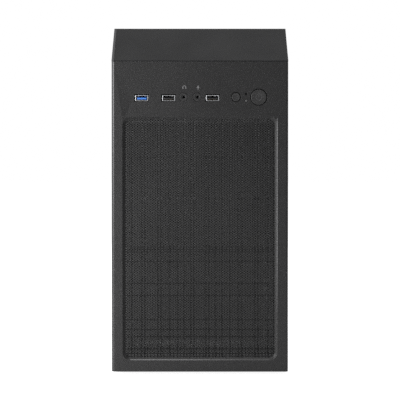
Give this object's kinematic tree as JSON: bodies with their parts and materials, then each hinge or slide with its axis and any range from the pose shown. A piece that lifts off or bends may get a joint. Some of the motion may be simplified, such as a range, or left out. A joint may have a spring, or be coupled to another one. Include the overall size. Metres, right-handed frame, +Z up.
{
  "type": "desktop computer tower",
  "caption": "Small black micro-ATX computer tower: sloped plastic front with ports, buttons and a recessed mesh, sliding side panels, board, drive, fans and power supply.",
  "frame": {"origin": "under the middle of the case, at the level of the feet", "axes": "+Z up along the height, front towards -Y, +X to the right seen from the front"},
  "size_m": [0.18, 0.35, 0.358],
  "materials": {
    "black_plastic": "fine spark texture",
    "grey_plastic": "smooth satin",
    "black_paint": "fine matt powder coat",
    "black_mesh": "painted perforated steel",
    "steel": "zinc-plated sheet",
    "chrome_steel": "bright plated",
    "aluminium": "satin",
    "blue_plastic": "satin",
    "board_green": "solder mask",
    "fan_plastic": "satin",
    "rubber": "matt",
    "clear_plastic": "frosted",
    "cable_sleeve": "soft sleeve"
  },
  "bodies": {
    "chassis": {"top_cover": "black_paint", "chassis_base": "steel", "front_frame": "steel", "rear_panel": "black_paint", "slot_cover_1": "steel", "slot_cover_2": "steel", "slot_cover_3": "steel", "slot_cover_4": "steel", "foot_front_left": "rubber", "foot_front_right": "rubber", "foot_rear_left": "rubber", "foot_rear_right": "rubber", "motherboard_tray": "steel", "motherboard": "board_green", "memory_module_1": "board_green", "memory_module_2": "board_green", "cpu_heatsink": "aluminium", "chipset_heatsink": "aluminium", "rear_port_block": "chrome_steel", "io_shield": "steel", "front_fan_frame": "fan_plastic", "rear_fan_frame": "fan_plastic", "cpu_fan_frame": "fan_plastic", "psu_case": "black_paint", "psu_fan_guard": "fan_plastic", "psu_board": "board_green", "psu_inlet": "fan_plastic", "psu_switch_frame": "fan_plastic", "drive_cage": "steel", "hard_drive": "aluminium", "psu_harness": "cable_sleeve", "front_panel_lead": "cable_sleeve"},
    "plastic_front": {"front_bezel": "black_plastic", "bezel_top_cap": "grey_plastic", "mesh_panel": "black_mesh", "dust_filter": "fan_plastic", "io_board": "board_green", "usb_shell_1": "chrome_steel", "usb_shell_2": "chrome_steel", "usb_shell_3": "chrome_steel", "usb_tongue_1": "blue_plastic", "usb_tongue_2": "grey_plastic", "usb_tongue_3": "grey_plastic", "headphone_jack": "fan_plastic", "microphone_jack": "fan_plastic", "drive_light": "clear_plastic", "power_light": "clear_plastic"},
    "power_button": {"power_button": "black_plastic"},
    "reset_button": {"reset_button": "black_plastic"},
    "left_side_panel": {"left_side_panel": "black_paint"},
    "right_side_panel": {"right_side_panel": "black_paint"},
    "thumbscrew_left_lower": {"thumbscrew_left_lower": "aluminium"},
    "thumbscrew_left_upper": {"thumbscrew_left_upper": "aluminium"},
    "thumbscrew_right_lower": {"thumbscrew_right_lower": "aluminium"},
    "thumbscrew_right_upper": {"thumbscrew_right_upper": "aluminium"},
    "front_fan_rotor": {"front_fan_rotor": "fan_plastic"},
    "rear_fan_rotor": {"rear_fan_rotor": "fan_plastic"},
    "cpu_fan_rotor": {"cpu_fan_rotor": "fan_plastic"},
    "psu_fan_rotor": {"psu_fan_rotor": "fan_plastic"},
    "psu_rocker": {"psu_rocker": "fan_plastic"}
  },
  "joints": [
    {"name": "front_pull_off", "type": "slide", "parent": "chassis", "child": "plastic_front", "axis": [0, -1, 0], "range_m": [0, 0.06]},
    {"name": "power_press", "type": "slide", "parent": "plastic_front", "child": "power_button", "axis": [0, 1, 0], "range_m": [0, 0.002], "stiffness_N_per_m": 700, "springref_m": -0.001},
    {"name": "reset_press", "type": "slide", "parent": "plastic_front", "child": "reset_button", "axis": [0, 1, 0], "range_m": [0, 0.002], "stiffness_N_per_m": 700, "springref_m": -0.001},
    {"name": "left_panel_slide", "type": "slide", "parent": "chassis", "child": "left_side_panel", "axis": [0, 1, 0], "range_m": [0, 0.3]},
    {"name": "right_panel_slide", "type": "slide", "parent": "chassis", "child": "right_side_panel", "axis": [0, 1, 0], "range_m": [0, 0.3]},
    {"name": "thumbscrew_left_lower_turn", "type": "hinge", "parent": "left_side_panel", "child": "thumbscrew_left_lower", "pos_m": [-0.0815, 0.1684, 0.06], "axis": [0, 1, 0], "continuous": true},
    {"name": "thumbscrew_left_upper_turn", "type": "hinge", "parent": "left_side_panel", "child": "thumbscrew_left_upper", "pos_m": [-0.0815, 0.1684, 0.3], "axis": [0, 1, 0], "continuous": true},
    {"name": "thumbscrew_right_lower_turn", "type": "hinge", "parent": "right_side_panel", "child": "thumbscrew_right_lower", "pos_m": [0.0815, 0.1684, 0.06], "axis": [0, 1, 0], "continuous": true},
    {"name": "thumbscrew_right_upper_turn", "type": "hinge", "parent": "right_side_panel", "child": "thumbscrew_right_upper", "pos_m": [0.0815, 0.1684, 0.3], "axis": [0, 1, 0], "continuous": true},
    {"name": "front_fan_spin", "type": "hinge", "parent": "chassis", "child": "front_fan_rotor", "pos_m": [0, -0.155, 0.19], "axis": [0, 1, 0], "continuous": true},
    {"name": "rear_fan_spin", "type": "hinge", "parent": "chassis", "child": "rear_fan_rotor", "pos_m": [-0.036, 0.1657, 0.196], "axis": [0, -1, 0], "continuous": true},
    {"name": "cpu_fan_spin", "type": "hinge", "parent": "chassis", "child": "cpu_fan_rotor", "pos_m": [0.0263, 0.092, 0.196], "axis": [1, 0, 0], "continuous": true},
    {"name": "psu_fan_spin", "type": "hinge", "parent": "chassis", "child": "psu_fan_rotor", "pos_m": [-0.002, 0.0957, 0.2883], "axis": [0, 0, -1], "continuous": true},
    {"name": "psu_rocker_tilt", "type": "hinge", "parent": "chassis", "child": "psu_rocker", "pos_m": [0.048, 0.1627, 0.29], "axis": [1, 0, 0], "range_deg": [-8, 8]}
  ]
}
